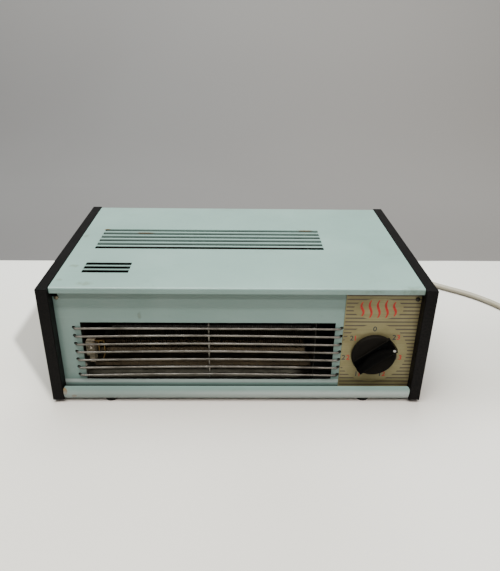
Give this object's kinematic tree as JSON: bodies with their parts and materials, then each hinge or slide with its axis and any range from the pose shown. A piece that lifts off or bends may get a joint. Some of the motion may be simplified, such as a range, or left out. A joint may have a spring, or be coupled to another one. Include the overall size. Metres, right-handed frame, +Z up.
{
  "type": "fan convector heater",
  "caption": "Low fan convector heater with slotted sheet-steel case, wire outlet grille, rotary selector knob, cross-flow fan, open-wire element and mains cord with plug.",
  "frame": {"origin": "on the floor, below the middle of the heater's outer box, measured without the cord", "axes": "+Z up, the front grille faces -Y, +X is to the right of someone facing the front"},
  "size_m": [0.7542, 0.3667, 0.1415],
  "materials": {
    "painted_steel": "semi-gloss stoved paint, worn at the edges",
    "side_plastic": "fine matt black moulding",
    "gold_plate": null,
    "nickel_wire": "aged nickel plate",
    "nickel_steel": "nickel plate",
    "knob_plastic": "satin black moulding",
    "dot_paint": "white paint",
    "rubber": "matt black rubber",
    "zinc_sheet": "dull zinc plated sheet",
    "lamination": "varnished laminations",
    "copper": "enamelled copper winding",
    "brass": "dull brass",
    "ceramic": "unglazed ceramic",
    "mica": "pressed mica",
    "heating_wire": "oxidised nickel-chrome wire",
    "bakelite": "brown phenolic moulding",
    "terminal_plastic": "cream moulding",
    "cord_pvc": "smooth cream PVC",
    "tie_plastic": "black plastic band",
    "brown_lead": "brown PVC insulation",
    "blue_lead": "blue PVC insulation"
  },
  "bodies": {
    "case": {"top_cover": "painted_steel", "front_panel": "painted_steel", "base_pan": "painted_steel", "rear_panel": "painted_steel", "side_panel_left": "side_plastic", "side_panel_right": "side_plastic", "control_plate": "gold_plate", "grille_wire_1": "nickel_wire", "grille_wire_2": "nickel_wire", "grille_wire_3": "nickel_wire", "grille_wire_4": "nickel_wire", "grille_wire_5": "nickel_wire", "grille_wire_6": "nickel_wire", "grille_wire_7": "nickel_wire", "grille_stay_rod": "nickel_wire", "front_screw_left": "nickel_steel", "front_screw_right": "nickel_steel", "plug_pin_live": "nickel_steel", "plug_pin_neutral": "nickel_steel", "plug_pin_earth": "nickel_steel", "foot_front_left": "rubber", "foot_front_right": "rubber", "foot_rear_left": "rubber", "foot_rear_right": "rubber", "fan_bearing_bush": "rubber", "switch_bracket": "zinc_sheet", "fan_scroll": "zinc_sheet", "fan_tongue": "zinc_sheet", "duct_wall_left": "zinc_sheet", "duct_wall_right": "zinc_sheet", "motor_bracket_inner": "zinc_sheet", "motor_bracket_outer": "zinc_sheet", "motor_stator": "lamination", "motor_coil": "copper", "switch_nut": "brass", "cutout_blade": "brass", "cutout_block": "ceramic", "element_rail_top": "mica", "element_rail_middle": "mica", "element_rail_bottom": "mica", "element_winding_front": "heating_wire", "element_winding_rear": "heating_wire", "switch_body": "bakelite", "cord_clamp": "bakelite", "terminal_block": "terminal_plastic", "mains_cord": "cord_pvc", "cord_coil": "cord_pvc", "cord_gland": "cord_pvc", "plug_body": "cord_pvc", "cord_tie": "tie_plastic", "lead_live": "brown_lead", "lead_neutral": "blue_lead"},
    "selector": {"selector_knob": "knob_plastic", "knob_pointer_dot": "dot_paint", "switch_spindle": "nickel_steel"},
    "fan": {"fan_impeller": "zinc_sheet", "fan_shaft": "nickel_steel", "motor_rotor": "lamination"}
  },
  "joints": [
    {"name": "knob_turn", "type": "hinge", "parent": "case", "child": "selector", "pos_m": [0.1484, -0.114, 0.0591], "axis": [0, 1, 0], "continuous": true},
    {"name": "fan_spin", "type": "hinge", "parent": "case", "child": "fan", "pos_m": [0, 0.012, 0.0655], "axis": [1, 0, 0], "continuous": true}
  ]
}
